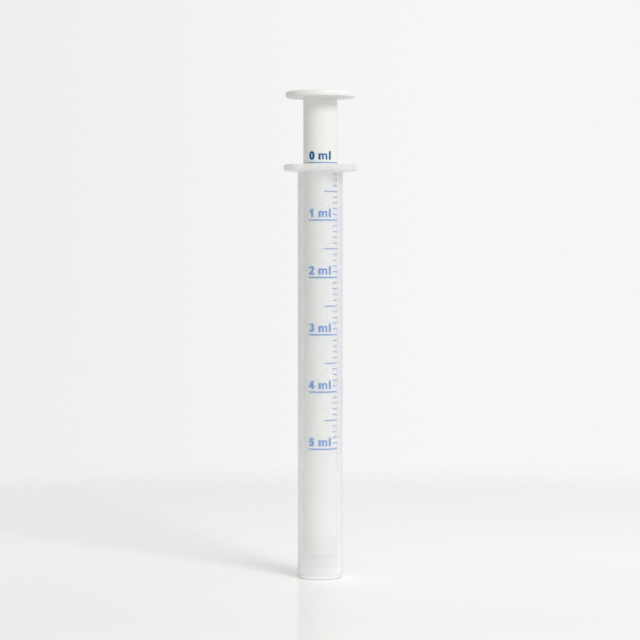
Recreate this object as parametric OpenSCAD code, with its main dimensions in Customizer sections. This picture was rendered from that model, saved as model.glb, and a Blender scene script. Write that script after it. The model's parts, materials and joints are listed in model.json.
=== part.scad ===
// Dosing pipette: a graduated plunger that slides in a straight barrel.
// Frame: origin at the centre of the barrel's closed end, +Z up the axis, the scale's labels face -Y.
// The plunger is drawn pushed home, with its piston on the barrel's floor.

/* [Capacity] */
// Volume at the last line of the scale, in ml
scale_volume = 5; // [2:1:6]
// Divisions printed in each ml
divisions_per_ml = 10; // [2:2:10]

/* [Barrel] */
// Inside diameter of the barrel, which sets how far the plunger moves for each ml
bore_d = 9.4; // [8.4:0.1:12]
// Thickness of the tube's wall
barrel_wall = 1; // [0.8:0.05:1.6]
// Thickness of the closed end
floor_t = 1.2; // [0.8:0.1:2]
// Rounding of the outer edge of the closed end
foot_edge_r = 0.6; // [0.2:0.1:0.8]
// Diameter of the hole that the liquid enters by
orifice_d = 2.2; // [1.2:0.1:3.6]
// Diameter of the shallow dimple round that hole, inside the closed end
dimple_d = 4.4; // [4:0.1:6]
// Depth of that dimple
dimple_depth = 0.4; // [0.2:0.05:0.6]

/* [Finger flange] */
// How far each wing of the flange reaches out of the tube
wing_reach = 3.6; // [2.5:0.1:6]
// How far the flange's front and back flats stand out of the tube
flat_reach = 1; // [0.6:0.1:2]
// Thickness of the flange
flange_t = 1.6; // [1.2:0.1:2.4]
// Rounding of the flange's edges
flange_edge_r = 0.45; // [0.2:0.05:0.55]
// Fillet between the tube and the underside of the flange
flange_fillet_r = 0.5; // [0.3:0.1:0.8]

/* [Barrel mouth] */
// Length of the sloped lead-in at the mouth
mouth_chamfer = 0.35; // [0.2:0.05:0.6]
// Distance from the mouth down to the middle of the retaining bead
bead_depth = 1.3; // [1.1:0.1:2]
// How far the retaining bead stands out of the bore
bead_rise = 0.15; // [0.12:0.01:0.2]
// Radius of the bead's rounded section
bead_section_r = 0.5; // [0.4:0.05:0.7]

/* [Plunger] */
// Gap all round between the shaft and the bore
shaft_gap = 0.4; // [0.3:0.05:0.6]
// Length of shaft that stands out of the barrel when the plunger is home
shaft_exposed = 16.8; // [10:0.1:25]
// Diameter of the thumb disc
disc_d = 17.5; // [15:0.1:22]
// Thickness of the thumb disc
disc_t = 1.6; // [1.2:0.1:2.4]
// Rounding of the thumb disc's rim
disc_edge_r = 0.5; // [0.2:0.05:0.55]
// Fillet between the shaft and the underside of the thumb disc
disc_fillet_r = 0.3; // [0.2:0.05:0.5]

/* [Piston] */
// Length of the wide piston at the foot of the shaft, up to the top of its guide band
piston_l = 23.8; // [18:0.1:32]
// Length of the sloped shoulder from the guide band up to the shaft
shoulder_l = 3.6; // [1:0.1:6]
// Radial clearance of the sealing lips and the guide band in the bore
running_clearance = 0.05; // [0.02:0.01:0.08]
// How much smaller in radius the piston's body is than its lips
lip_rise = 0.12; // [0.08:0.01:0.2]
// Number of sealing lips
lip_count = 2; // [1:1:3]
// Height of each sealing lip
lip_h = 0.9; // [0.6:0.05:1]
// Distance from one sealing lip to the next
lip_pitch = 2.6; // [2.4:0.1:3.2]
// Depth of the groove above each sealing lip
groove_depth = 0.45; // [0.2:0.05:0.6]
// Height of the groove above each sealing lip
groove_h = 1.1; // [0.8:0.05:1.3]
// Length of the guide band at the top of the piston
band_h = 2.4; // [1.5:0.1:4]
// Travel left over between the full scale and the stop at the retaining bead
spare_travel = 5.7; // [1:0.1:9]
// Gap between the guide band and the retaining bead at the end of the travel
stop_gap = 0.1; // [0.05:0.05:0.3]

/* [Core] */
// Wall of the hollow shaft at its top
shaft_wall = 1.1; // [0.9:0.05:1.4]
// Taper of the core on each side over its whole length, so that the moulding core draws out
core_draft = 0.25; // [0.1:0.05:0.4]
// Thickness of the piston's closed foot
piston_foot_t = 1.6; // [1.2:0.1:2.5]
// Sloped lead-in at the open top of the core
core_chamfer = 0.3; // [0.1:0.05:0.5]

/* [Scale] */
// Thickness of the ink
ink_t = 0.04; // [0.03:0.01:0.06]
// Clearance that keeps the ink film and the shaft two separate solids
ink_gap = 0.01; // [0.005:0.005:0.02]
// Width of the printed line at each whole ml
line_w = 0.3; // [0.2:0.01:0.4]
// Width of the shorter ticks between those lines
tick_w = 0.22; // [0.15:0.01:0.4]
// Height of the middle of the 0 ml line above the flange
zero_rise = 0.4; // [0.3:0.1:1]
// Angle where the printed lines end, to the right of the front
scale_right = 79; // [60:1:85]
// Angle that a whole-ml line spans
whole_span = 121; // [90:1:130]
// Angle that a half-ml tick spans
half_span = 65; // [50:1:80]
// Angle that a small tick spans
tenth_span = 32; // [20:1:45]

/* [Hidden] */
$fn = 96;
overlap = 1;
mm3_per_ml = 1000;

bore_r = bore_d / 2;
barrel_r = bore_r + barrel_wall;
ml_pitch = mm3_per_ml / (PI * bore_r * bore_r);
stroke = scale_volume * ml_pitch;

// Heights from the floor of the barrel up: the piston to its guide band, the full stroke, the spare travel
// and the bead that the guide band meets at the end of the travel.
bead_half_h = sqrt(pow(bead_section_r, 2) - pow(bead_section_r - bead_rise, 2));
piston_top = floor_t + piston_l;
bead_z = piston_top + stroke + spare_travel + stop_gap + bead_half_h;
mouth_z = bead_z + bead_depth;
flange_under_z = mouth_z - flange_t;
wing_r = barrel_r + wing_reach;
flat_y = barrel_r + flat_reach;

shaft_r = bore_r - shaft_gap;
lip_r = bore_r - running_clearance;
piston_r = lip_r - lip_rise;
disc_under_z = mouth_z + shaft_exposed;
top_z = disc_under_z + disc_t;
core_r_top = shaft_r - shaft_wall;
core_r_foot = core_r_top - core_draft;

// A square-cornered section with its two outer corners rounded, to be revolved or extruded.
module rounded_end(reach, t, r) {
    square([reach - r, t]);
    translate([0, r]) square([reach, t - 2 * r]);
    for (z = [r, t - r]) translate([reach - r, z]) circle(r = r);
}

// The concave fillet that fills an inside corner, with the corner at the origin.
module fillet(r) {
    difference() {
        translate([-r, -r]) square([2 * r, 2 * r]);
        translate([r, -r]) circle(r = r);
    }
}

// Round plate with rounded edges, cut by a bar of the same rounded section into two wings.
module finger_flange() {
    translate([0, 0, flange_under_z]) intersection() {
        rotate_extrude() rounded_end(wing_r, flange_t, flange_edge_r);
        rotate([90, 0, 90]) linear_extrude(2 * (wing_r + overlap), center = true)
            for (side = [0, 1]) mirror([side, 0]) rounded_end(flat_y, flange_t, flange_edge_r);
    }
}

// The tube's outside, with its foot edge and the fillet under the flange.
module tube_outside() {
    rotate_extrude() {
        translate([0, foot_edge_r]) square([barrel_r, flange_under_z + flange_t / 2 - foot_edge_r]);
        square([barrel_r - foot_edge_r, 2 * foot_edge_r]);
        translate([barrel_r - foot_edge_r, foot_edge_r]) circle(r = foot_edge_r);
        translate([barrel_r, flange_under_z]) fillet(flange_fillet_r);
    }
}

// The bore with its lead-in, narrowed by the retaining bead.
module bore() {
    rotate_extrude() difference() {
        union() {
            translate([0, floor_t]) square([bore_r, mouth_z - floor_t + overlap]);
            polygon([
                [0, mouth_z - mouth_chamfer],
                [bore_r, mouth_z - mouth_chamfer],
                [bore_r + mouth_chamfer, mouth_z],
                [bore_r + mouth_chamfer, mouth_z + overlap],
                [0, mouth_z + overlap],
            ]);
        }
        translate([bore_r - bead_rise + bead_section_r, bead_z]) circle(r = bead_section_r);
    }
}

// The orifice through the floor, with the shallow cone that leads the last drop to it.
module orifice() {
    translate([0, 0, -overlap]) cylinder(d = orifice_d, h = floor_t + 2 * overlap);
    translate([0, 0, floor_t - dimple_depth])
        cylinder(d1 = orifice_d, d2 = dimple_d, h = dimple_depth);
}

module barrel() {
    color("whitesmoke", 0.6) difference() {
        union() {
            tube_outside();
            finger_flange();
        }
        bore();
        orifice();
    }
}

// Half section of the piston: closed foot, sealing lips with a groove above each, body, guide band, shoulder.
module piston_section() {
    difference() {
        union() {
            square([piston_r, piston_l]);
            for (i = [0 : lip_count - 1]) translate([0, i * lip_pitch]) rounded_end(lip_r, lip_h, lip_rise);
            translate([0, piston_l - band_h]) rounded_end(lip_r, band_h, lip_rise);
            translate([0, piston_l]) polygon([[0, 0], [piston_r, 0], [shaft_r, shoulder_l], [0, shoulder_l]]);
        }
        for (i = [0 : lip_count - 1]) translate([lip_r - groove_depth, lip_h + i * lip_pitch])
            square([groove_depth + overlap, groove_h]);
    }
}

// Half section of the thumb disc and its fillet, with the disc's underside at height zero.
module disc_section() {
    rounded_end(disc_d / 2, disc_t, disc_edge_r);
    translate([shaft_r, 0]) fillet(disc_fillet_r);
}

// The tapered core that leaves the plunger hollow, open at the thumb disc.
module core() {
    core_z = floor_t + piston_foot_t;
    translate([0, 0, core_z]) cylinder(r1 = core_r_foot, r2 = core_r_top, h = top_z - core_z);
    translate([0, 0, top_z - core_chamfer])
        cylinder(r1 = core_r_top, r2 = core_r_top + core_chamfer, h = core_chamfer);
    translate([0, 0, top_z]) cylinder(r = core_r_top + core_chamfer, h = overlap);
}

module plunger() {
    color("white") difference() {
        rotate_extrude() {
            translate([0, floor_t]) piston_section();
            translate([0, piston_top - band_h]) square([shaft_r, disc_under_z - piston_top + band_h + disc_t / 2]);
            translate([0, disc_under_z]) disc_section();
        }
        core();
    }
}

// One printed line on the shaft: a film that spans an angle and ends at the scale's right-hand edge.
module printed_line(z, span, width) {
    rotate([0, 0, scale_right - span - 90]) rotate_extrude(angle = span)
        translate([shaft_r + ink_gap, z - width / 2]) square([ink_t, width]);
}

// The graduations: long lines at each ml, middle ticks at each half, short ticks between.
module scale_print() {
    color("royalblue") for (i = [0 : scale_volume * divisions_per_ml]) {
        span = i % divisions_per_ml == 0 ? whole_span
            : i % divisions_per_ml == divisions_per_ml / 2 ? half_span
            : tenth_span;
        width = i % divisions_per_ml == 0 ? line_w : tick_w;
        printed_line(mouth_z + zero_rise - i * ml_pitch / divisions_per_ml, span, width);
    }
}

barrel();
plunger();
scale_print();
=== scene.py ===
"""Dresses the dosing pipette: translucent barrel, white plunger and printed scale, on a pale studio table."""
import json
import logging
import math
from dataclasses import dataclass, field
from enum import Enum
from functools import partial

import bmesh
import bpy
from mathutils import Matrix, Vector
from mathutils.geometry import delaunay_2d_cdt


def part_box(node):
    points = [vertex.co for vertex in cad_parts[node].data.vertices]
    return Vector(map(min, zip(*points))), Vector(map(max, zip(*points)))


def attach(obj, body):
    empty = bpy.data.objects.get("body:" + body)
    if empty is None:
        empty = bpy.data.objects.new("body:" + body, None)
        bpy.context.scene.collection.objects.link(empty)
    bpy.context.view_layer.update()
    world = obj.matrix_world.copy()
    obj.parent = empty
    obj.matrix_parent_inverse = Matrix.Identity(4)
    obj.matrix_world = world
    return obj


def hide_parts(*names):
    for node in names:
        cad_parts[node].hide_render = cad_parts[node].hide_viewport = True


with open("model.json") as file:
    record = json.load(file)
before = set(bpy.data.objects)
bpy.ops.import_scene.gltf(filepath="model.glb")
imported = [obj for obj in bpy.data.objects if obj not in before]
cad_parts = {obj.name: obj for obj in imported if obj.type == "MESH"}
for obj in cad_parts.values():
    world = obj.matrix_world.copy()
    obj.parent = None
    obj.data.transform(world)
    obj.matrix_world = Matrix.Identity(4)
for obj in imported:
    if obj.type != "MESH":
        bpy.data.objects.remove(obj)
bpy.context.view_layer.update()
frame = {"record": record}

LOG = logging.getLogger("pipette")
MM = 0.001
SHARP_EDGE = math.radians(32)
CORNER_SOFTNESS = 0.25 * MM  # how round the corners are between a round edge and a flat
NEAR_ZERO = 1e-6
NOISE_SPAN = (0.3, 0.7)  # where most values of a noise lie
SWITCH_SPAN = (0.0, 1.0)  # off and on
UNDER_ONE = 0.5  # tells a count of none from one or more

Material = bpy.types.Material
Tree = bpy.types.NodeTree
Socket = bpy.types.NodeSocket
NodeValue = float | int | bool | str | tuple | Socket | Material
Span = tuple[float, float]
Point = tuple[float, float]
Triple = tuple[float, float, float]
Stroke = list[Point]


# ---- Nodes ----


def srgb(code: str) -> tuple[float, float, float, float]:
    """Turns six sRGB hex digits to linear red, green, blue and an alpha of 1."""
    parts = (int(code[i:i + 2], 16) / 255 for i in (0, 2, 4))
    return (*(c / 12.92 if c <= 0.04045 else ((c + 0.055) / 1.055) ** 2.4 for c in parts), 1.0)


def add_node(tree: Tree, kind: str, settings: dict[str, object] | None = None,
             inputs: dict[str | int, NodeValue] | None = None) -> bpy.types.Node:
    """Adds a node, sets its properties, and sets or links its inputs.

    Args:
        tree: the tree that gets the node.
        kind: the node's bl_idname.
        settings: properties of the node itself.
        inputs: a value to set, or a socket to link, for each input's name or number.

    Returns:
        The new node.
    """
    node = tree.nodes.new(kind)
    for key, value in (settings or {}).items():
        setattr(node, key, value)
    for key, value in (inputs or {}).items():
        if isinstance(value, Socket):
            tree.links.new(value, node.inputs[key])
        else:
            node.inputs[key].default_value = value
    return node


def result(tree: Tree, kind: str, inputs: dict[str | int, NodeValue] | None = None) -> Socket:
    """The first output of a new node with such inputs."""
    return add_node(tree, kind, inputs=inputs).outputs[0]


def maths(tree: Tree, operation: str, *values: NodeValue) -> Socket:
    """The result of a math node on numbers or sockets."""
    return add_node(tree, "ShaderNodeMath", {"operation": operation}, dict(enumerate(values))).outputs[0]


def along(tree: Tree, vector: Socket, axis: int) -> Socket:
    """One of a vector's three parts: 0 across, 1 deep, 2 up."""
    return add_node(tree, "ShaderNodeSeparateXYZ", inputs={0: vector}).outputs[axis]


def ranged(tree: Tree, value: Socket, span: Span, low: float = 0.0, high: float = 1.0,
           smooth: bool = False) -> Socket:
    """Maps a value from a span to low to high, held at both ends, and eased where smooth is set."""
    eased = {"interpolation_type": "SMOOTHSTEP" if smooth else "LINEAR"}
    return add_node(tree, "ShaderNodeMapRange", eased, dict(enumerate((value, *span, low, high)))).outputs[0]


def blended(tree: Tree, share: Socket, first: Socket | str, second: str) -> Socket:
    """Mixes two colours, each given as hex digits or a socket, by the share of the second."""
    inputs = {"Factor": share, 6: srgb(first) if isinstance(first, str) else first, 7: srgb(second)}
    return add_node(tree, "ShaderNodeMix", {"data_type": "RGBA"}, inputs).outputs[2]


def mixed(tree: Tree, share: Socket | float, first: Socket, second: Socket) -> Socket:
    """A mix of two shaders, by the share of the second."""
    return result(tree, "ShaderNodeMixShader", {0: share, 1: first, 2: second})


# ---- Meshes ----


def arc(centre_r: float, centre_z: float, radius: float, start: float, end: float,
        steps: int = 6, **ring: float) -> list["Ring"]:
    """Rings along an arc about a centre, between two angles in degrees: 0 is outward and 90 is up."""
    angles = [math.radians(start + (end - start) * i / steps) for i in range(steps + 1)]
    return [Ring(centre_r + radius * math.cos(a), centre_z + radius * math.sin(a), **ring) for a in angles]


@dataclass(frozen=True)
class Ring:
    """One ring of a turned surface, which two flats may cut at the front and the back.

    wall is how much plastic lies behind the surface. Where core is given, the plastic is instead wall times
    how far the surface stands outside that radius. bend is the radius of the surface's roundness, which a
    slanting way through the wall depends on.
    """

    radius: float
    height: float
    flat: float = math.inf
    wall: float = 0.0
    bend: float = 1.0
    core: float | None = None

    def reach(self, angle: float) -> float:
        """Distance of the ring's outline from the axis in a direction.

        Args:
            angle: direction from the front, in radians.

        Returns:
            The distance, in metres.
        """
        across = abs(math.cos(angle))
        if math.isinf(self.flat) or across < NEAR_ZERO:
            return self.radius
        to_flat = self.flat / across
        gap = abs(self.radius - to_flat)
        return min(self.radius, to_flat) - CORNER_SOFTNESS * math.log1p(math.exp(-gap / CORNER_SOFTNESS))

    def depth(self, reach: float) -> float:
        """Plastic behind the surface at a point of the ring that is so far from the axis."""
        return self.wall if self.core is None else max(reach - self.core, 0.0) * self.wall


def turned_object(name: str, rings: list[Ring], segments: int, closed: bool = False) -> bpy.types.Object:
    """Makes a closed mesh by turning a section about the axis.

    Args:
        name: name of the object.
        rings: the section from its first ring to its last; a ring of no radius becomes a pole.
        segments: number of segments round the axis.
        closed: whether the last ring joins the first, as on a tube.

    Returns:
        The object, at the origin.
    """
    maker = bmesh.new()
    wall, bend = (maker.verts.layers.float.new(layer) for layer in ("wall", "bend"))
    rows: list[list[bmesh.types.BMVert]] = []
    for ring in rings:
        row = []
        for i in range(segments if ring.radius else 1):
            angle = 2 * math.pi * i / segments
            r = ring.reach(angle)
            point = maker.verts.new((r * math.sin(angle), -r * math.cos(angle), ring.height))
            point[wall], point[bend] = ring.depth(r), ring.bend
            row.append(point)
        rows.append(row)
    pairs = list(zip(rows, rows[1:]))
    if closed:
        pairs.append((rows[-1], rows[0]))
    for low, high in pairs:
        for i in range(segments):
            j = (i + 1) % segments
            corners = [low[i % len(low)], low[j % len(low)], high[j % len(high)], high[i % len(high)]]
            maker.faces.new(list(dict.fromkeys(corners)))
    bmesh.ops.recalc_face_normals(maker, faces=maker.faces)
    return finished_object(name, maker)


def finished_object(name: str, maker: bmesh.types.BMesh) -> bpy.types.Object:
    """Turns a bmesh into a smooth-shaded object in the scene, and frees it.

    Args:
        name: name of the object and its mesh.
        maker: the bmesh.

    Returns:
        The object, at the origin.
    """
    mesh = bpy.data.meshes.new(name)
    maker.to_mesh(mesh)
    maker.free()
    mesh.shade_smooth()
    mesh.set_sharp_from_angle(angle=SHARP_EDGE)
    piece = bpy.data.objects.new(name, mesh)
    bpy.context.scene.collection.objects.link(piece)
    return piece


def place_piece(piece: bpy.types.Object, material: Material, body: str,
                nodes: tuple[str, ...] = ()) -> None:
    """Dresses a piece, puts it on its body and hides the solids that it stands for.

    Args:
        piece: the object.
        material: what it is made of.
        body: the body that it rides on.
        nodes: the solids that it stands for.
    """
    piece.data.materials.append(material)
    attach(piece, body)
    if nodes:
        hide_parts(*nodes)
    LOG.info("%s: %d faces, rides on %s", piece.name, len(piece.data.polygons), body)


# ---- Finishes ----


@dataclass(frozen=True)
class Finish:
    """What every finish has: a name, and ways to begin its material and to roughen it."""

    name: str

    def start(self) -> tuple[Material, Tree, Socket]:
        """Makes an empty node material.

        Returns:
            The material, its tree, and the piece's own coordinates in metres.
        """
        material = bpy.data.materials.new(self.name)
        material.use_nodes = True
        tree = material.node_tree
        tree.nodes.clear()
        return material, tree, add_node(tree, "ShaderNodeTexCoord").outputs["Object"]

    @staticmethod
    def stored(tree: Tree, name: str) -> Socket:
        """A number that the mesh carries at its points."""
        return add_node(tree, "ShaderNodeAttribute", {"attribute_name": name}).outputs["Fac"]

    @staticmethod
    def closed(material: Material, shader: Socket) -> Material:
        """The material, with the shader wired to its output."""
        add_node(material.node_tree, "ShaderNodeOutputMaterial", inputs={"Surface": shader})
        return material

    @staticmethod
    def noise(tree: Tree, coords: Socket, grain: float, detail: float = 1.0,
              stretch: Triple = (1, 1, 1)) -> Socket:
        """Adds noise, which is 0.5 on average.

        Args:
            tree: the material's tree.
            coords: coordinates in metres.
            grain: size of the patches in metres.
            detail: how fine the steps inside a patch are.
            stretch: how much longer the patches are along each axis.

        Returns:
            The noise at each point.
        """
        scaled = result(tree, "ShaderNodeMapping", {
            "Vector": coords, "Scale": tuple(1 / (grain * s) for s in stretch)})
        return result(tree, "ShaderNodeTexNoise", {"Vector": scaled, "Scale": 1.0, "Detail": detail})

    def relief(self, tree: Tree, coords: Socket, grit: float, height: float, strength: float) -> Socket:
        """The normal of a skin with grains of such a size and height, and how much of them shows."""
        inputs = {"Strength": strength, "Distance": height, "Height": self.noise(tree, coords, grit)}
        return result(tree, "ShaderNodeBump", inputs)


@dataclass(frozen=True)
class MouldedPolystyrene(Finish):
    """High-impact polystyrene, injection moulded in a blasted tool: opaque, even white, low satin gloss."""

    light: str = "EDEDEB"
    shade: str = "E9E9E6"
    roughness: Span = (0.34, 0.42)
    ior: float = 1.49
    scatter: float = 0.12
    scatter_reach: Triple = (0.9 * MM, 0.85 * MM, 0.8 * MM)
    flow: float = 9 * MM
    flow_detail: float = 2.0
    flow_stretch: Triple = (1, 1, 3)
    # The tool's real grit of some hundredths of a millimetre is too fine to show, so it is drawn at 0.16 mm.
    grit: float = 0.16 * MM
    grit_height: float = 0.002 * MM
    grit_shows: float = 0.5

    def make(self) -> Material:
        """Builds the material: cloudy flow marks in the colour and gloss, blasted grit in the relief.

        Returns:
            The material.
        """
        material, tree, coords = self.start()
        clouds = self.noise(tree, coords, self.flow, self.flow_detail, self.flow_stretch)
        return self.closed(material, result(tree, "ShaderNodeBsdfPrincipled", {
            "Base Color": blended(tree, clouds, self.shade, self.light),
            "Roughness": ranged(tree, clouds, NOISE_SPAN, *self.roughness),
            "IOR": self.ior,
            "Subsurface Weight": self.scatter,
            "Subsurface Radius": self.scatter_reach,
            "Subsurface Scale": 1.0,
            "Normal": self.relief(tree, coords, self.grit, self.grit_height, self.grit_shows),
        }))


@dataclass(frozen=True)
class NaturalPolyethylene(Finish):
    """Unpigmented low-density polyethylene: milky, and see-through where the wall is thin."""

    haze: str = "F3F4F5"
    thick_haze: str = "F6F6F6"
    thick_span: Span = (1.1 * MM, 3.0 * MM)
    density: float = 0.31 / MM
    clouding: float = 6 * MM
    cloud_detail: float = 2.0
    cloud_stretch: Triple = (1, 1, 2)
    cloud_share: float = 0.02
    # The plastic at the gate end cools last and goes white, so the foot hides the piston behind it.
    gate_density: float = 1.5 / MM
    gate_reach: Span = (12 * MM, 1.0 * MM)
    gate_rise: float = 3.0
    # Light on its way in meets only this share of that white, or the foot would stand in its own shade.
    shade_share: float = 0.1
    # The haze's colour at each height on the way down from the first one to the foot. It is painted light and
    # shade:
    # whiter towards the foot as painted light, where the table lights the lower barrel, a darker band about 1
    # mm up as painted shade at the foot's edge, and whiter again in the last 0.4 mm as painted light against
    # the contact shadow under the rounded edge.
    painted_light_from: float = 48 * MM
    painted_foot_light_and_shade: tuple[tuple[float, str], ...] = (
        (20 * MM, "F8F9FA"), (9 * MM, "FAFBFC"), (1.6 * MM, "F6F7F8"), (1.0 * MM, "E8E9EA"),
        (0.4 * MM, "F8F9F9"))
    light_through: float = 0.58
    gate_through: float = 0.06
    gate_shift: Span = (0.1, 0.5)
    skin: float = 0.02
    steepest: float = 0.08
    edge_milk: float = 0.89
    edge_band: Span = (1.5 * MM ** 2, 4.5 * MM ** 2)
    roughness: float = 0.42
    ior: float = 1.51
    grit: float = 0.2 * MM
    grit_height: float = 0.0004 * MM
    grit_shows: float = 0.4

    def gate(self, tree: Tree, coords: Socket) -> Socket:
        """How near a point is to the gate end at the foot, from 0 to 1."""
        return ranged(tree, along(tree, coords, 2), self.gate_reach)

    def haze_share(self, tree: Tree, coords: Socket) -> Socket:
        """Works out how much light the plastic behind a point scatters, from its way through the round wall.

        Args:
            tree: the material's tree.
            coords: coordinates in metres.

        Returns:
            The share of light that is scattered, from 0 to 1.
        """
        calc = partial(maths, tree)
        cosine = calc("SUBTRACT", 1.0, add_node(tree, "ShaderNodeLayerWeight").outputs["Facing"])
        wall, bend = (self.stored(tree, name) for name in ("wall", "bend"))
        ahead = calc("MULTIPLY", bend, cosine)
        # Above zero where the line of sight comes out through the bore, below where it stays in the wall.
        bore, near, outside = (calc("POWER", x, 2.0) for x in (calc("SUBTRACT", bend, wall), ahead, bend))
        left = calc("SUBTRACT", calc("ADD", bore, near), outside)
        way = calc("SUBTRACT", ahead, calc("SQRT", calc("MAXIMUM", left, 0.0)))
        clouds = self.noise(tree, coords, self.clouding, self.cloud_detail, self.cloud_stretch)
        thinnest, thickest = (self.density * (1 + share) for share in (-self.cloud_share, self.cloud_share))
        density = ranged(tree, clouds, NOISE_SPAN, thinnest, thickest)
        shadowing = add_node(tree, "ShaderNodeLightPath").outputs["Is Shadow Ray"]
        white = calc("MULTIPLY", calc("POWER", self.gate(tree, coords), self.gate_rise), self.gate_density)
        met = ranged(tree, shadowing, SWITCH_SPAN, 1.0, self.shade_share)
        density = calc("ADD", density, calc("MULTIPLY", white, met))
        skin = calc("MULTIPLY", calc("DIVIDE", self.skin, calc("MAXIMUM", cosine, self.steepest)),
                    calc("GREATER_THAN", wall, 0.0))
        lost = calc("ADD", calc("MULTIPLY", way, density), skin)
        scattered = calc("SUBTRACT", 1.0, calc("EXPONENT", calc("MULTIPLY", lost, -1.0)))
        # Near the tube's edge the bore mirrors the line of sight back into the milk. That takes a wall, and
        # light on its way in doesn't meet it.
        edge = ranged(tree, left, self.edge_band, self.edge_milk, 0.0, smooth=True)
        return calc("MAXIMUM", scattered, calc("MULTIPLY", edge, calc("GREATER_THAN", wall, shadowing)))

    def make(self) -> Material:
        """Builds the material: a haze that lets most light through, under a satin skin.

        Returns:
            The material.
        """
        material, tree, coords = self.start()
        normal = self.relief(tree, coords, self.grit, self.grit_height, self.grit_shows)
        thick = ranged(tree, self.stored(tree, "wall"), self.thick_span)
        colour = blended(tree, thick, self.haze, self.thick_haze)
        height = along(tree, coords, 2)
        # Painted light and shade at the foot: the haze whitens towards the foot, darkens in a band about 1 mm
        # up and whitens again at the very edge.
        start = self.painted_light_from
        for stop, haze in self.painted_foot_light_and_shade:
            colour = blended(tree, ranged(tree, height, (start, stop)), colour, haze)
            start = stop
        front = result(tree, "ShaderNodeBsdfPrincipled", {
            "Base Color": colour, "Roughness": self.roughness, "IOR": self.ior, "Normal": normal})
        back = result(tree, "ShaderNodeBsdfTranslucent", {"Color": colour, "Normal": normal})
        through = ranged(tree, self.gate(tree, coords), self.gate_shift, self.light_through,
                         self.gate_through)
        clear = result(tree, "ShaderNodeBsdfTransparent")
        milk = mixed(tree, through, front, back)
        return self.closed(material, mixed(tree, self.haze_share(tree, coords), clear, milk))


@dataclass(frozen=True)
class ScreenInk(Finish):
    """Blue screen-printing ink, cured on the shaft: matt, a little thinner in places."""

    full: str = "06527C"
    thin: str = "0082DE"
    # The print reads dark teal in the open and azure inside the barrel, so its colour turns at the mouth.
    full_span: Span = (98 * MM, 104 * MM)
    patch: float = 0.5 * MM
    patch_detail: float = 3.0
    patch_share: float = 0.15
    roughness: Span = (0.55, 0.7)
    ior: float = 1.48
    gloss: float = 0.2

    def make(self) -> Material:
        """Builds the material: a blue that varies a little in density, fullest above the barrel's mouth.

        Returns:
            The material.
        """
        material, tree, coords = self.start()
        density = self.noise(tree, coords, self.patch, self.patch_detail)
        thinner = ranged(tree, along(tree, coords, 2), self.full_span, 1 - self.patch_share, self.patch_share)
        patchy = ranged(tree, density, NOISE_SPAN, -self.patch_share, self.patch_share)
        return self.closed(material, result(tree, "ShaderNodeBsdfPrincipled", {
            "Base Color": blended(tree, maths(tree, "ADD", thinner, patchy), self.full, self.thin),
            "Roughness": ranged(tree, density, NOISE_SPAN, *self.roughness),
            "IOR": self.ior,
            "Specular IOR Level": self.gloss,
        }))


# ---- Barrel ----


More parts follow.
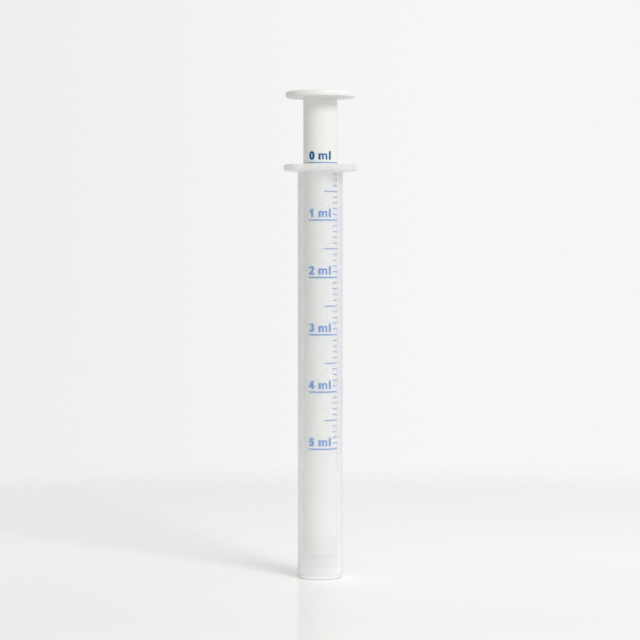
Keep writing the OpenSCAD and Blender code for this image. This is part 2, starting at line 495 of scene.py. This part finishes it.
@dataclass
class Barrel:
    """The straight tube with its finger flange, retaining bead and closed end."""

    wall: float = 1.0 * MM
    floor_t: float = 1.2 * MM
    foot_edge_r: float = 0.6 * MM
    orifice_r: float = 1.1 * MM
    dimple_r: float = 2.2 * MM
    dimple_depth: float = 0.4 * MM
    flange_t: float = 1.6 * MM
    flange_edge_r: float = 0.45 * MM
    flange_fillet_r: float = 0.5 * MM
    mouth_chamfer: float = 0.35 * MM
    bead_depth: float = 1.3 * MM
    bead_rise: float = 0.15 * MM
    bead_section_r: float = 0.5 * MM
    # The flange is seen edge on, so its plastic grows with the distance outside the bore, this many times.
    flange_milk: float = 1.8
    # Distance over which the plastic behind the surface changes from one part to the next.
    seam: float = 0.01 * MM
    segments: int = 192
    round_steps: int = 8
    edge_steps: int = 5
    finish: NaturalPolyethylene = NaturalPolyethylene("natural_polyethylene")
    outer_r: float = field(init=False)
    wing_r: float = field(init=False)
    flat_y: float = field(init=False)
    mouth_z: float = field(init=False)

    def __post_init__(self) -> None:
        """Takes the outer sizes from the frame."""
        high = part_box("barrel")[1]
        mounts = {mount["name"]: mount for mount in frame["record"]["mounts"]}
        self.outer_r = mounts["barrel_outside"]["dims"]["r_mm"] * MM
        self.wing_r, self.flat_y, self.mouth_z = high[0], high[1], high[2]

    @property
    def bore_r(self) -> float:
        """Inside radius of the tube."""
        return self.outer_r - self.wall

    def flange_rings(self) -> list[Ring]:
        """Draws the flange.

        Returns:
            Its rings, from the underside round the edge to the top.
        """
        edge = self.flange_edge_r
        under = self.mouth_z - self.flange_t
        inset_r, inset_flat = self.wing_r - edge, self.flat_y - edge
        rings = [Ring(self.outer_r + self.flange_fillet_r, under, wall=self.flange_t),
                 Ring(inset_r, under, inset_flat, wall=self.flange_t)]
        for centre_z, start, end in ((under + edge, -90, 0), (self.mouth_z - edge, 0, 90)):
            for ring in arc(0, centre_z, edge, start, end, self.edge_steps):
                rings.append(Ring(inset_r + ring.radius, ring.height, inset_flat + ring.radius,
                                  wall=self.flange_milk, core=self.bore_r))
        return [*rings, Ring(inset_r, self.mouth_z, inset_flat, wall=self.flange_t)]

    def section(self) -> list[Ring]:
        """Draws the whole closed section.

        Returns:
            Rings of the foot, tube, flange, mouth, bore, floor and orifice.
        """
        under = self.mouth_z - self.flange_t
        bead_z = self.mouth_z - self.bead_depth
        bead_r = self.bore_r - self.bead_rise + self.bead_section_r
        bead_angle = math.degrees(math.acos((self.bead_section_r - self.bead_rise) / self.bead_section_r))
        foot, fillet, chamfer, seam = self.foot_edge_r, self.flange_fillet_r, self.mouth_chamfer, self.seam
        solid = {"wall": self.outer_r - self.orifice_r, "bend": self.outer_r}
        tube = {"wall": self.wall, "bend": self.outer_r}
        return [
            Ring(self.orifice_r, 0, wall=self.floor_t),
            Ring(self.outer_r - foot - seam, 0, wall=self.floor_t),
            *arc(self.outer_r - foot, foot, foot, -90, 0, self.round_steps, **solid),
            Ring(self.outer_r, self.floor_t - seam, **solid),
            Ring(self.outer_r, self.floor_t + seam, **tube),
            *arc(self.outer_r + fillet, under - fillet, fillet, 180, 90, **tube),
            *self.flange_rings(),
            Ring(self.bore_r + chamfer, self.mouth_z, wall=self.flange_t),
            Ring(self.bore_r + chamfer - seam, self.mouth_z - seam),
            Ring(self.bore_r, self.mouth_z - chamfer),
            *arc(bead_r, bead_z, self.bead_section_r, 180 - bead_angle, 180 + bead_angle, self.round_steps),
            Ring(self.bore_r, self.floor_t),
            Ring(self.dimple_r, self.floor_t),
            Ring(self.orifice_r, self.floor_t - self.dimple_depth),
            Ring(self.orifice_r, seam),
        ]

    def build(self) -> None:
        """Makes the barrel, dresses it and puts it on its body."""
        piece = turned_object("barrel_moulding", self.section(), self.segments, closed=True)
        place_piece(piece, self.finish.make(), "barrel", ("barrel",))


# ---- Plunger ----


@dataclass
class Plunger:
    """The hollow white plunger: thumb disc, shaft, and piston with its sealing lips."""

    shaft_r: float = 4.3 * MM
    lip_r: float = 4.65 * MM
    lip_rise: float = 0.12 * MM
    lip_h: float = 0.9 * MM
    lip_pitch: float = 2.6 * MM
    lip_count: int = 2
    groove_depth: float = 0.45 * MM
    groove_h: float = 1.1 * MM
    piston_l: float = 23.8 * MM
    band_h: float = 2.4 * MM
    shoulder_l: float = 3.6 * MM
    disc_t: float = 1.6 * MM
    disc_edge_r: float = 0.5 * MM
    disc_fillet_r: float = 0.3 * MM
    core_r_top: float = 3.2 * MM
    core_r_foot: float = 2.95 * MM
    core_chamfer: float = 0.3 * MM
    foot_t: float = 1.6 * MM
    seat_gap: float = 0.01 * MM
    segments: int = 160
    small_steps: int = 4
    finish: MouldedPolystyrene = MouldedPolystyrene("moulded_polystyrene")
    disc_r: float = field(init=False)
    foot_z: float = field(init=False)
    top_z: float = field(init=False)

    def __post_init__(self) -> None:
        """Takes the outer sizes from the frame, and lifts the foot just off the barrel's floor."""
        low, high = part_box("plunger")
        self.disc_r, self.foot_z, self.top_z = high[0], low[2] + self.seat_gap, high[2]

    def core_rings(self) -> list[Ring]:
        """Draws the open core.

        Returns:
            Its rings, from the closed bottom up to the thumb disc.
        """
        return [
            Ring(0, self.foot_z + self.foot_t),
            Ring(self.core_r_foot, self.foot_z + self.foot_t),
            Ring(self.core_r_top, self.top_z - self.core_chamfer),
            Ring(self.core_r_top + self.core_chamfer, self.top_z),
        ]

    def disc_rings(self) -> list[Ring]:
        """Draws the thumb disc.

        Returns:
            Its rings, from the top round the rim to the shaft.
        """
        edge, fillet = self.disc_edge_r, self.disc_fillet_r
        under = self.top_z - self.disc_t
        rim = self.disc_r - edge
        return [
            *arc(rim, self.top_z - edge, edge, 90, 0),
            *arc(rim, under + edge, edge, 0, -90),
            *arc(self.shaft_r + fillet, under - fillet, fillet, 90, 180, self.small_steps),
        ]

    def band_rings(self, base: float, height: float) -> list[Ring]:
        """Draws a band with rounded edges that stands out of the piston.

        Args:
            base: height of its base.
            height: how tall it is.

        Returns:
            Its rings, from its top to its base.
        """
        edge, steps = self.lip_rise, self.small_steps
        rim = self.lip_r - edge
        return [*arc(rim, base + height - edge, edge, 90, 0, steps),
                *arc(rim, base + edge, edge, 0, -90, steps)]

    def piston_rings(self) -> list[Ring]:
        """Draws the piston.

        Returns:
            Its rings, from the shoulder down past the guide band and the lips to the foot.
        """
        body_r = self.lip_r - self.lip_rise
        groove_r = self.lip_r - self.groove_depth
        top = self.foot_z + self.piston_l
        rings = [Ring(self.shaft_r, top + self.shoulder_l), Ring(body_r, top)]
        rings += self.band_rings(top - self.band_h, self.band_h)
        rings.append(Ring(body_r, top - self.band_h))
        for i in reversed(range(self.lip_count)):
            base = self.foot_z + i * self.lip_pitch
            groove_top = base + self.lip_h + self.groove_h
            rings += [Ring(body_r, groove_top), Ring(groove_r, groove_top), Ring(groove_r, base + self.lip_h)]
            rings += self.band_rings(base, self.lip_h)
            if i:
                rings.append(Ring(body_r, base))
        return [*rings, Ring(0, self.foot_z)]

    def build(self) -> None:
        """Makes the plunger, dresses it and puts it on its body."""
        rings = [*self.core_rings(), *self.disc_rings(), *self.piston_rings()]
        piece = turned_object("plunger_moulding", rings, self.segments)
        place_piece(piece, self.finish.make(), "plunger", ("plunger",))


# ---- Printed scale ----


class Mark(Enum):
    """The kinds of line on the scale, by how many of them make one millilitre."""

    WHOLE = 1
    HALF = 2
    TENTH = 10


@dataclass(frozen=True)
class LineFamily:
    """The equal lines of one kind: how wide, how many, how far apart, and every how many one is left out."""

    mark: Mark
    span: float
    width: float
    count: int
    pitch: float
    first: float
    skip: int


@dataclass
class GraduationTree:
    """A node tree that repeats one curved film of ink down the shaft."""

    material: Material
    columns: int = 24
    weld: float = 0.001 * MM
    tree: Tree = field(init=False)
    sockets: dict[str, str] = field(init=False, default_factory=dict)

    def __post_init__(self) -> None:
        """Builds the tree with its named inputs, and notes each input's identifier."""
        self.tree = bpy.data.node_groups.new("graduations", "GeometryNodeTree")
        face = self.tree.interface
        for kind, names in (("Int", ("Count", "Skip every")), ("Float", (
                "Pitch", "First height", "Radius", "Middle angle", "Span", "Line width", "Ink thickness"))):
            for name in names:
                item = face.new_socket(name, in_out="INPUT", socket_type=f"NodeSocket{kind}")
                self.sockets[name] = item.identifier
        face.new_socket("Geometry", in_out="OUTPUT", socket_type="NodeSocketGeometry")
        self.add_nodes()

    def film(self, given: bpy.types.bpy_prop_collection) -> Socket:
        """Makes one line of ink: a flat grid bent round the shaft and thickened to a closed film.

        Args:
            given: the tree's inputs.

        Returns:
            The film.
        """
        tree = self.tree
        calc = partial(maths, tree)
        grid = add_node(tree, "GeometryNodeMeshGrid", inputs={
            "Size X": given["Span"], "Size Y": given["Line width"], "Vertices X": self.columns,
            "Vertices Y": 2})
        flat = result(tree, "GeometryNodeInputPosition")
        angle = calc("ADD", along(tree, flat, 0), given["Middle angle"])
        across = calc("MULTIPLY", calc("SINE", angle), given["Radius"])
        ahead = calc("MULTIPLY", calc("COSINE", angle), given["Radius"])
        bent = result(tree, "ShaderNodeCombineXYZ", {
            0: across, 1: calc("MULTIPLY", ahead, -1.0), 2: along(tree, flat, 1)})
        base = result(tree, "GeometryNodeSetPosition", {"Geometry": grid.outputs[0], "Position": bent})
        raised = add_node(tree, "GeometryNodeExtrudeMesh", {"mode": "FACES"}, {
            "Mesh": base, "Offset Scale": given["Ink thickness"], "Individual": False}).outputs[0]
        under = result(tree, "GeometryNodeFlipFaces", {0: base})
        both = add_node(tree, "GeometryNodeJoinGeometry")
        for part in (raised, under):
            tree.links.new(part, both.inputs[0])
        return result(tree, "GeometryNodeMergeByDistance",
                        {"Geometry": both.outputs[0], "Distance": self.weld})

    def add_nodes(self) -> None:
        """Fills the tree: points down the axis, a film on each that isn't left out, made real and inked."""
        tree = self.tree
        calc = partial(maths, tree)
        given = add_node(tree, "NodeGroupInput").outputs
        start, step = (result(tree, "ShaderNodeCombineXYZ", {2: height})
                       for height in (given["First height"], calc("MULTIPLY", given["Pitch"], -1.0)))
        points = add_node(tree, "GeometryNodeMeshLine", {"mode": "OFFSET"}, {
            "Count": given["Count"], "Start Location": start, "Offset": step}).outputs[0]
        rest = calc("MODULO", result(tree, "GeometryNodeInputIndex"), given["Skip every"])
        kept = add_node(tree, "FunctionNodeCompare", {"data_type": "FLOAT", "operation": "GREATER_THAN"},
                        {0: rest, 1: UNDER_ONE}).outputs[0]
        all_kept = add_node(tree, "FunctionNodeCompare", {"data_type": "INT", "operation": "EQUAL"},
                            {2: given["Skip every"], 3: 0}).outputs[0]
        chosen = add_node(tree, "FunctionNodeBooleanMath", {"operation": "OR"},
                          {0: kept, 1: all_kept}).outputs[0]
        films = result(tree, "GeometryNodeInstanceOnPoints", {
            "Points": points, "Selection": chosen, "Instance": self.film(given)})
        real = result(tree, "GeometryNodeRealizeInstances", {0: films})
        inked = result(tree, "GeometryNodeSetMaterial", {"Geometry": real, "Material": self.material})
        add_node(tree, "NodeGroupOutput", inputs={0: inked})

    def mesh(self, values: dict[str, float | int]) -> bpy.types.Mesh:
        """Runs the tree with the given inputs.

        Args:
            values: a value for each named input.

        Returns:
            The films as a plain mesh.
        """
        carrier = bpy.data.objects.new("graduation_carrier", bpy.data.meshes.new("graduation_carrier"))
        bpy.context.scene.collection.objects.link(carrier)
        modifier = carrier.modifiers.new("graduations", "NODES")
        modifier.node_group = self.tree
        for name, value in values.items():
            modifier[self.sockets[name]] = value
        graph = bpy.context.evaluated_depsgraph_get()
        made = bpy.data.meshes.new_from_object(carrier.evaluated_get(graph))
        carrier.modifiers.remove(modifier)
        bpy.data.objects.remove(carrier)
        return made


@dataclass(frozen=True)
class Pen:
    """Draws bold figures from strokes, in shares of a figure's height, from the baseline up."""

    stem: float
    thin: float
    x_height: float = 0.735
    steps: int = 20

    def curve(self, centre: Point, radii: Point, start: float, end: float, power: float) -> Stroke:
        """Points along a piece of a rounded oval.

        Args:
            centre: middle of the oval.
            radii: its half width and half height.
            start: first angle in degrees.
            end: last angle in degrees.
            power: 2 for an ellipse, more for a squarer oval.

        Returns:
            The points in order.
        """
        points = []
        for i in range(self.steps + 1):
            angle = math.radians(start + (end - start) * i / self.steps)
            x, y = (middle + radius * math.copysign(abs(part) ** (2 / power), part)
                    for middle, radius, part in zip(centre, radii, (math.cos(angle), math.sin(angle))))
            points.append((x, y))
        return points

    @staticmethod
    def ribbon(outer: Stroke, inner: Stroke) -> list[Stroke]:
        """The quads between two lines with as many points each."""
        return [[outer[i], outer[i + 1], inner[i + 1], inner[i]] for i in range(len(outer) - 1)]

    def bowl(self, centre: Point, radii: Point, start: float, end: float, power: float = 2.2) -> list[Stroke]:
        """A curved stroke between two ovals: as wide as a stem at the sides, and thin at the top and foot."""
        inner = (radii[0] - self.stem, radii[1] - self.thin)
        return self.ribbon(*(self.curve(centre, size, start, end, power) for size in (radii, inner)))

    def figure(self, digit: int) -> list[Stroke]:
        """Draws a digit.

        Args:
            digit: the digit, from 0 to 5.

        Returns:
            Its strokes.
        """
        stem, thin = self.stem, self.thin
        return {
            # A tall oval ring.
            0: self.bowl((0.45, 0.5), (0.36, 0.515), 0, 360, 2.5),
            # A stem with a flag that falls to the left.
            1: [[(0.62 - stem, 0), (0.62, 0), (0.62, 1.005), (0.62 - stem, 0.88)],
                *self.ribbon([(0.09, 0.77), (0.24, 0.825), (0.35, 0.91), (0.41, 1.005), (0.62, 1.005)],
                             [(0.09, 0.56), (0.24, 0.61), (0.37, 0.69), (0.44, 0.76), (0.62, 0.82)])],
            # An arch that falls into a diagonal, on a bar.
            2: [*self.bowl((0.385, 0.69), (0.36, 0.325), 172, -18),
                *self.ribbon([(0.728, 0.585), (0.65, 0.44), (0.48, 0.28), (0.4, 0.17)],
                             [(0.487, 0.645), (0.4, 0.52), (0.2, 0.3), (0.03, 0.08)]),
                [(0.03, 0), (0.76, 0), (0.76, thin), (0.03, thin)]],
            # Two bowls that meet at the middle.
            3: [*self.bowl((0.38, 0.735), (0.335, 0.28), 165, -90),
                *self.bowl((0.39, 0.3), (0.365, 0.315), 90, -168)],
            # A stem, a bar and a diagonal.
            4: [[(0.67 - stem, 0), (0.67, 0), (0.67, 1), (0.67 - stem, 1)],
                [(0.02, 0.2), (0.79, 0.2), (0.79, 0.2 + thin), (0.02, 0.2 + thin)],
                [(0.02, 0.36), (0.26, 0.36), (0.55, 0.8), (0.44, 1)]],
            # A bar, a short leaning stem and a bowl.
            5: [[(0.17, 0.995 - thin), (0.71, 0.995 - thin), (0.71, 0.995), (0.15, 0.995)],
                [(0.06, 0.475), (0.27, 0.44), (0.34, 0.995), (0.15, 0.995)],
                *self.bowl((0.385, 0.33), (0.365, 0.345), 142, -168)],
        }[digit]

    def letter_m(self) -> list[Stroke]:
        """Draws the letter m: a stem and two arches.

        Returns:
            Its strokes.
        """
        top = self.x_height
        pieces = [[(0, 0), (self.stem, 0), (self.stem, top - 0.015), (0, top - 0.015)]]
        for start in (0.0, 0.437):
            outer = self.curve((start + 0.375, top - 0.27), (0.257, 0.27), 145, 0, 2.3)
            inner = self.curve((start + 0.315, top - 0.28), (0.122, 0.13), 160, 0, 2.3)
            pieces += self.ribbon([(start + 0.05, top - 0.21), *outer, (start + 0.632, 0)],
                                  [(start + 0.15, top - 0.33), *inner, (start + 0.437, 0)])
        return pieces

    def letter_l(self) -> list[Stroke]:
        """Letter l: one stem."""
        return [[(0, 0), (self.stem, 0), (self.stem, 1), (0, 1)]]


@dataclass
class PrintedScale:
    """The blue scale on the shaft: graduation lines, figures and the unit beside each whole line."""

    shaft_r: float
    shaft_gap: float = 0.01 * MM
    ink_t: float = 0.04 * MM
    volume_ml: int = 5
    right_edge: float = math.radians(79)
    whole_span: float = math.radians(121)
    half_span: float = math.radians(65)
    tenth_span: float = math.radians(32)
    zero_w: float = 0.2 * MM
    whole_w: float = 0.3 * MM
    tick_w: float = 0.22 * MM
    figure_h: float = 2.09 * MM
    figure_rise: float = 0.74 * MM
    unit_m_at: float = 1.29
    unit_l_at: float = 2.59
    digit_pen: Pen = Pen(0.285, 0.213)
    unit_pen: Pen = Pen(0.26, 0.21)
    # The figures are cut in columns so narrow that they bend round the shaft, by cuts that reach past them.
    column: float = 0.22 * MM
    past: float = 0.2
    weld: float = 1e-7
    figure_ink: ScreenInk = ScreenInk("screen_ink")
    line_ink: ScreenInk = ScreenInk("screen_ink_thin_film", full="5E9ACC", thin="1478D2")
    tick_ink: ScreenInk = ScreenInk("screen_ink_fine_lines", full="467CC0", thin="467CC0")
    top_z: float = field(init=False)
    ml_pitch: float = field(init=False)

    def __post_init__(self) -> None:
        """Takes the first line's height and the pitch from the frame."""
        low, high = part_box("scale_print")
        self.top_z = high[2] - self.whole_w / 2
        self.ml_pitch = (high[2] - low[2] - self.whole_w) / self.volume_ml

    def families(self) -> list[LineFamily]:
        """Works out the lines of each kind.

        Returns:
            The finer top line, the other whole ones, the halves and the tenths.
        """
        ml, top, count = self.ml_pitch, self.top_z, self.volume_ml
        halves, tenths = Mark.HALF.value, Mark.TENTH.value
        return [
            LineFamily(Mark.WHOLE, self.whole_span, self.zero_w, 1, ml, top, 0),
            LineFamily(Mark.WHOLE, self.whole_span, self.whole_w, count, ml, top - ml, 0),
            LineFamily(Mark.HALF, self.half_span, self.tick_w, count, ml, top - ml / halves, 0),
            LineFamily(Mark.TENTH, self.tenth_span, self.tick_w, count * tenths, ml / tenths, top,
                       tenths // halves),
        ]

    def build_lines(self, name: str, families: list[LineFamily], ink: ScreenInk,
                    nodes: tuple[str, ...] = ()) -> None:
        """Makes one piece of graduation lines and puts it on the plunger's body.

        Args:
            name: name of the piece.
            families: the kinds of line in it.
            ink: their ink.
            nodes: the solids that the piece stands for.
        """
        material = ink.make()
        tree = GraduationTree(material)
        joined = bmesh.new()
        for family in families:
            mesh = tree.mesh({
                "Count": family.count, "Skip every": family.skip, "Pitch": family.pitch,
                "First height": family.first, "Radius": self.shaft_r + self.shaft_gap,
                "Middle angle": self.right_edge - family.span / 2, "Span": family.span,
                "Line width": family.width, "Ink thickness": self.ink_t})
            joined.from_mesh(mesh)
            LOG.info("%s lines: %d faces", family.mark.name.lower(), len(mesh.polygons))
            bpy.data.meshes.remove(mesh)
        place_piece(finished_object(name, joined), material, "plunger", nodes)

    def label_strokes(self, digit: int) -> list[Stroke]:
        """Draws one label, such as 3 ml.

        Args:
            digit: its digit.

        Returns:
            Its strokes, in shares of the figure's height.
        """
        strokes, unit = self.digit_pen.figure(digit), self.unit_pen
        for letter, start in ((unit.letter_m(), self.unit_m_at), (unit.letter_l(), self.unit_l_at)):
            strokes += [[(x + start, y) for x, y in stroke] for stroke in letter]
        return strokes

    def merged(self, strokes: list[Stroke]) -> tuple[list[Vector], list[list[int]]]:
        """Joins overlapping strokes to one flat mesh, cut in narrow columns so that it can bend.

        Args:
            strokes: closed outlines, in shares of the figure's height.

        Returns:
            Flat points in metres, and triangles of their numbers.
        """
        points: list[Vector] = []
        faces: list[list[int]] = []
        for stroke in strokes:
            area = sum(a[0] * b[1] - b[0] * a[1] for a, b in zip(stroke, stroke[1:] + stroke[:1]))
            ordered = stroke if area > 0 else stroke[::-1]
            faces.append(list(range(len(points), len(points) + len(ordered))))
            points += [Vector((x * self.figure_h, y * self.figure_h)) for x, y in ordered]
        right = max(p.x for p in points)
        edges = []
        for i in range(1, int(right / self.column) + 1):
            edges.append((len(points), len(points) + 1))
            points += [Vector((i * self.column, self.figure_h * y)) for y in (-self.past, 1 + self.past)]
        made = delaunay_2d_cdt(points, edges, faces, 0, self.weld)
        return made[0], [face for face, in_strokes in zip(made[2], made[5]) if in_strokes]

    def add_label(self, maker: bmesh.types.BMesh, digit: int) -> None:
        """Bends one label round the shaft and thickens it to a closed film.

        Args:
            maker: the bmesh that gets it.
            digit: the label's digit.
        """
        flat, triangles = self.merged(self.label_strokes(digit))
        inner = self.shaft_r + self.shaft_gap
        left = self.right_edge - self.whole_span
        base = self.top_z - digit * self.ml_pitch + self.figure_rise
        angles = [left + point.x / inner for point in flat]
        under, over = ([maker.verts.new((radius * math.sin(angle), -radius * math.cos(angle), base + point.y))
                        for angle, point in zip(angles, flat)] for radius in (inner, inner + self.ink_t))
        borders: dict[tuple[int, int], None] = {}
        for triangle in triangles:
            maker.faces.new([over[i] for i in triangle])
            maker.faces.new([under[i] for i in reversed(triangle)])
            borders.update(dict.fromkeys(zip(triangle, triangle[1:] + triangle[:1])))
        for a, b in borders:
            if (b, a) not in borders:
                maker.faces.new([over[b], over[a], under[a], under[b]])

    def build_figures(self) -> None:
        """Makes the figures with their unit and puts them on the plunger's body."""
        maker = bmesh.new()
        for digit in range(self.volume_ml + 1):
            self.add_label(maker, digit)
        loose = [v for v in maker.verts if not v.link_faces]
        bmesh.ops.delete(maker, geom=loose, context="VERTS")
        place_piece(finished_object("scale_figures", maker), self.figure_ink.make(), "plunger")

    def build(self) -> None:
        """Makes the whole print."""
        zero, whole, *shorter = self.families()
        self.build_lines("scale_lines", [zero, whole], self.line_ink, ("scale_print",))
        self.build_lines("scale_ticks", shorter, self.tick_ink)
        self.build_figures()


# ---- Studio ----


@dataclass(frozen=True)
class Sides:
    """A colour that goes smoothly from one on the left to another on the right."""

    left: str
    right: str
    span: Span

    def blend(self, tree: Tree, across: Socket) -> Socket:
        """The colour at a distance across."""
        return blended(tree, ranged(tree, across, self.span, smooth=True), self.left, self.right)


@dataclass(frozen=True)
class CastAcrylic(Finish):
    """White cast acrylic sheet: bright, and glossy enough to mirror what stands on it at a low angle."""

    colour: Sides = Sides("FBFBFA", "FEFEFD", (-0.08, 0.04))
    gloss: float = 0.75
    roughness: float = 0.12
    ior: float = 1.45
    # The sheet looks this much lighter towards the back, where it takes on the dome's light.
    lift: Span = (0.0, 0.08)
    lift_span: Span = (-0.07, 0.04)
    # It fades out into the dome, sooner for the light that it throws back.
    seen_fade: Span = (0.2, 0.3)
    bounce_fade: Span = (0.07, 0.17)

    def make(self) -> Material:
        """Builds the material: a matt white under a gloss, clear far from the pipette.

        Returns:
            The material.
        """
        material, tree, coords = self.start()
        colour = self.colour.blend(tree, along(tree, coords, 0))
        glossy = result(tree, "ShaderNodeBsdfPrincipled", {
            "Base Color": colour, "Roughness": self.roughness, "IOR": self.ior})
        matt = result(tree, "ShaderNodeBsdfDiffuse", {"Color": colour})
        path = add_node(tree, "ShaderNodeLightPath").outputs
        spare = ranged(tree, along(tree, coords, 1), self.lift_span, *self.lift)
        lift = maths(tree, "MULTIPLY", path["Is Camera Ray"], spare)
        whiter = result(tree, "ShaderNodeBsdfDiffuse", {"Color": lift})
        sheet = result(tree, "ShaderNodeAddShader",
                         {0: mixed(tree, self.gloss, matt, glossy), 1: whiter})
        reach = add_node(tree, "ShaderNodeVectorMath", {"operation": "LENGTH"}, {0: coords}).outputs["Value"]
        fades = (self.seen_fade, self.bounce_fade)
        seen, bounced = (ranged(tree, reach, fade, smooth=True) for fade in fades)
        faded = maths(tree, "MAXIMUM", seen, maths(tree, "MULTIPLY", bounced, path["Is Diffuse Ray"]))
        clear = result(tree, "ShaderNodeBsdfTransparent")
        return self.closed(material, mixed(tree, faded, sheet, clear))


@dataclass(frozen=True)
class AreaLamp:
    """A flat lamp or reflector card that faces a point on the pipette's axis."""

    name: str
    place: Triple
    aim: float
    size: Span
    power: float
    mirrored: bool = True

    def add(self) -> None:
        """Adds it to the scene."""
        data = bpy.data.lights.new(self.name, "AREA")
        data.shape = "RECTANGLE"
        data.size, data.size_y = self.size
        data.energy = self.power
        lamp = bpy.data.objects.new(self.name, data)
        lamp.location = self.place
        away = Vector(self.place) - Vector((0, 0, self.aim))
        lamp.rotation_euler = away.to_track_quat("Z", "Y").to_euler()
        lamp.visible_camera = lamp.visible_glossy = self.mirrored
        bpy.context.scene.collection.objects.link(lamp)


@dataclass
class Studio:
    """Table of white acrylic in a pale dome, with a soft lamp from the right and a low card on the left."""

    eye_distance: float = 0.560
    eye_height: float = 0.0824
    eye_side: float = -0.00008
    look_down: float = math.radians(1.751)
    lens: float = 124.54
    sensor: float = 36
    near_clip: float = 0.01
    lamps: tuple[AreaLamp, ...] = (
        AreaLamp("soft_lamp", (0.366451, -0.543286, 0.541261), 0.0824, (0.3, 0.3), 3.12),
        AreaLamp("low_card", (-0.3, -0.158, 0.033), 0.033, (0.24, 0.066), 0.22, mirrored=False))
    dome: float = 0.585
    dome_lean: Triple = (0.285, -0.06, -0.04)
    below: float = 0.512
    horizon: Span = (-0.06, 0.06)
    light: Sides = Sides("FFFFF6", "FCFDFF", (-0.6, 0.6))
    shown: Sides = Sides("EFEFEF", "F6F6F6", (-0.14, 0.06))
    table_half: float = 0.4
    acrylic: CastAcrylic = CastAcrylic("white_acrylic")

    def camera(self) -> None:
        """Places the camera at eye level with the upper part of the barrel."""
        data = bpy.data.cameras.new("camera")
        data.lens, data.sensor_width, data.clip_start = self.lens, self.sensor, self.near_clip
        camera = bpy.data.objects.new("camera", data)
        camera.location = (self.eye_side, -self.eye_distance, self.eye_height)
        camera.rotation_euler = (math.pi / 2 - self.look_down, 0, 0)
        bpy.context.scene.collection.objects.link(camera)
        bpy.context.scene.camera = camera

    def world(self) -> None:
        """Makes the pale dome: even where it is seen, and a softer light from above where it only lights."""
        world = bpy.data.worlds.new("dome")
        bpy.context.scene.world = world
        world.use_nodes = True
        tree = world.node_tree
        tree.nodes.clear()
        way = add_node(tree, "ShaderNodeTexCoord").outputs["Generated"]
        rise = ranged(tree, along(tree, way, 2), self.horizon, self.below, self.dome, smooth=True)
        lean = add_node(tree, "ShaderNodeVectorMath", {"operation": "DOT_PRODUCT"},
                        {0: way, 1: self.dome_lean}).outputs["Value"]
        light, shown = (result(tree, "ShaderNodeBackground", {
            "Color": sides.blend(tree, along(tree, way, 0)), "Strength": strength})
            for sides, strength in ((self.light, maths(tree, "ADD", rise, lean)), (self.shown, 1.0)))
        path = add_node(tree, "ShaderNodeLightPath").outputs
        mirrored = maths(tree, "MAXIMUM", path["Is Glossy Ray"], path["Is Transmission Ray"])
        direct = maths(tree, "LESS_THAN", path["Diffuse Depth"], UNDER_ONE)
        seen = maths(tree, "MAXIMUM", path["Is Camera Ray"], maths(tree, "MULTIPLY", mirrored, direct))
        add_node(tree, "ShaderNodeOutputWorld", inputs={"Surface": mixed(tree, seen, light, shown)})

    def table(self) -> None:
        """Adds the table that the pipette stands on."""
        maker = bmesh.new()
        bmesh.ops.create_grid(maker, x_segments=1, y_segments=1, size=self.table_half)
        table = finished_object("table", maker)
        table.data.materials.append(self.acrylic.make())

    def build(self) -> None:
        """Makes the camera, the lamp, the card, the dome and the table."""
        self.camera()
        for lamp in self.lamps:
            lamp.add()
        self.world()
        self.table()


def main() -> None:
    """Builds the studio and the pipette."""
    logging.basicConfig(level=logging.INFO, format="%(name)s %(message)s")
    bpy.context.scene.view_settings.view_transform = "Standard"
    Studio().build()
    Barrel().build()
    plunger = Plunger()
    plunger.build()
    PrintedScale(shaft_r=plunger.shaft_r).build()


if __name__ == "__main__":
    main()
